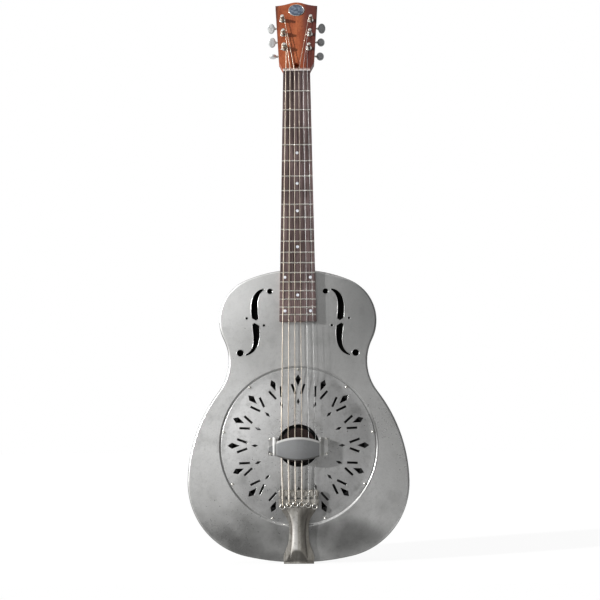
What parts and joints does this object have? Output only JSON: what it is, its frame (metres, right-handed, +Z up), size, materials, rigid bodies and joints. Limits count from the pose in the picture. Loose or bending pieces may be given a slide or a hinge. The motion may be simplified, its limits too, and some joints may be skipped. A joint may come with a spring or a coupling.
{
  "type": "resonator guitar",
  "caption": "Metal-bodied resonator guitar with a single cone under a pierced round coverplate, a fretted neck clear of the body and a slant-back solid headstock with geared tuners.",
  "frame": {"origin": "on the centreline at the lowest point of the tail, half way through the body's depth", "axes": "+Z up the neck to the headstock, +Y out of the back, the strings face -Y, bass side at -X"},
  "size_m": [0.3654, 0.11, 0.9735],
  "materials": {
    "body_plate": "aged satin nickel plate over brass sheet",
    "coverplate": "aged satin nickel plate",
    "palm_rest": "satin nickel plate, polished by the hand",
    "tailpiece": "aged nickel plate, warmer in the folds",
    "screws": "nickel plated, slightly dulled",
    "inner_steel": "plain steel, unseen inside",
    "cone_aluminium": "spun bare aluminium",
    "maple": "plain maple, oiled",
    "saddle_maple": "maple, darkened by the strings",
    "neck_mahogany": "red-brown mahogany under satin lacquer",
    "rosewood": "dark rosewood, open pores",
    "fret_wire": "nickel silver, polished by the strings",
    "pearl_dots": "mother-of-pearl look",
    "bone": "bone, satin",
    "wound_string": "phosphor bronze winding",
    "plain_string": "bright plain steel",
    "tuner_nickel": "bright nickel plate",
    "gear_brass": "bare brass",
    "button_pearl": "pearloid, polished",
    "badge": "blue-grey enamelled metal, plain"
  },
  "bodies": {
    "guitar": {"body_top": "body_plate", "body_back": "body_plate", "body_sides": "body_plate", "sound_well": "inner_steel", "cone": "cone_aluminium", "biscuit": "maple", "biscuit_screw": "screws", "saddle": "saddle_maple", "coverplate": "coverplate", "coverplate_screws": "screws", "palm_rest": "palm_rest", "palm_rest_screws": "screws", "tailpiece": "tailpiece", "tailpiece_hinge_pin": "screws", "tailpiece_bracket": "tailpiece", "tailpiece_screws": "screws", "tail_block": "maple", "neck_stick": "maple", "neck": "neck_mahogany", "truss_rod": "inner_steel", "headstock_badge": "badge", "fingerboard": "rosewood", "frets": "fret_wire", "position_dots": "pearl_dots", "nut": "bone", "tuner_plate_bass": "tuner_nickel", "tuner_plate_treble": "tuner_nickel", "tuner_plate_screws": "screws", "post_bushings": "tuner_nickel", "string_e_low": "wound_string", "string_a": "wound_string", "string_d": "wound_string", "string_g": "wound_string", "string_b": "plain_string", "string_e_high": "plain_string"},
    "knob_e_low": {"tuner_button_e_low": "button_pearl", "worm_shaft_e_low": "tuner_nickel"},
    "post_e_low": {"string_post_e_low": "tuner_nickel", "post_gear_e_low": "gear_brass"},
    "knob_a": {"tuner_button_a": "button_pearl", "worm_shaft_a": "tuner_nickel"},
    "post_a": {"string_post_a": "tuner_nickel", "post_gear_a": "gear_brass"},
    "knob_d": {"tuner_button_d": "button_pearl", "worm_shaft_d": "tuner_nickel"},
    "post_d": {"string_post_d": "tuner_nickel", "post_gear_d": "gear_brass"},
    "knob_g": {"tuner_button_g": "button_pearl", "worm_shaft_g": "tuner_nickel"},
    "post_g": {"string_post_g": "tuner_nickel", "post_gear_g": "gear_brass"},
    "knob_b": {"tuner_button_b": "button_pearl", "worm_shaft_b": "tuner_nickel"},
    "post_b": {"string_post_b": "tuner_nickel", "post_gear_b": "gear_brass"},
    "knob_e_high": {"tuner_button_e_high": "button_pearl", "worm_shaft_e_high": "tuner_nickel"},
    "post_e_high": {"string_post_e_high": "tuner_nickel", "post_gear_e_high": "gear_brass"}
  },
  "joints": [
    {"name": "knob_turn_e_low", "type": "hinge", "parent": "guitar", "child": "knob_e_low", "pos_m": [-0.0215, -0.01884, 0.86762], "axis": [1, 0, 0], "continuous": true},
    {"name": "post_turn_e_low", "type": "hinge", "parent": "guitar", "child": "post_e_low", "pos_m": [-0.0215, -0.03246, 0.87748], "axis": [0, -0.9659, 0.2588], "continuous": true},
    {"name": "knob_turn_a", "type": "hinge", "parent": "guitar", "child": "knob_a", "pos_m": [-0.02325, -0.01108, 0.8966], "axis": [1, 0, 0], "continuous": true},
    {"name": "post_turn_a", "type": "hinge", "parent": "guitar", "child": "post_a", "pos_m": [-0.02325, -0.02469, 0.90646], "axis": [0, -0.9659, 0.2588], "continuous": true},
    {"name": "knob_turn_d", "type": "hinge", "parent": "guitar", "child": "knob_d", "pos_m": [-0.025, -0.00332, 0.92558], "axis": [1, 0, 0], "continuous": true},
    {"name": "post_turn_d", "type": "hinge", "parent": "guitar", "child": "post_d", "pos_m": [-0.025, -0.01693, 0.93544], "axis": [0, -0.9659, 0.2588], "continuous": true},
    {"name": "knob_turn_g", "type": "hinge", "parent": "guitar", "child": "knob_g", "pos_m": [0.025, -0.00332, 0.92558], "axis": [1, 0, 0], "continuous": true},
    {"name": "post_turn_g", "type": "hinge", "parent": "guitar", "child": "post_g", "pos_m": [0.025, -0.01693, 0.93544], "axis": [0, -0.9659, 0.2588], "continuous": true},
    {"name": "knob_turn_b", "type": "hinge", "parent": "guitar", "child": "knob_b", "pos_m": [0.02325, -0.01108, 0.8966], "axis": [1, 0, 0], "continuous": true},
    {"name": "post_turn_b", "type": "hinge", "parent": "guitar", "child": "post_b", "pos_m": [0.02325, -0.02469, 0.90646], "axis": [0, -0.9659, 0.2588], "continuous": true},
    {"name": "knob_turn_e_high", "type": "hinge", "parent": "guitar", "child": "knob_e_high", "pos_m": [0.0215, -0.01884, 0.86762], "axis": [1, 0, 0], "continuous": true},
    {"name": "post_turn_e_high", "type": "hinge", "parent": "guitar", "child": "post_e_high", "pos_m": [0.0215, -0.03246, 0.87748], "axis": [0, -0.9659, 0.2588], "continuous": true}
  ],
  "couplings": [
    {"joint": "post_turn_e_low", "follows": "knob_turn_e_low", "ratio": -0.066667},
    {"joint": "post_turn_a", "follows": "knob_turn_a", "ratio": -0.066667},
    {"joint": "post_turn_d", "follows": "knob_turn_d", "ratio": -0.066667},
    {"joint": "post_turn_g", "follows": "knob_turn_g", "ratio": -0.066667},
    {"joint": "post_turn_b", "follows": "knob_turn_b", "ratio": -0.066667},
    {"joint": "post_turn_e_high", "follows": "knob_turn_e_high", "ratio": -0.066667}
  ]
}
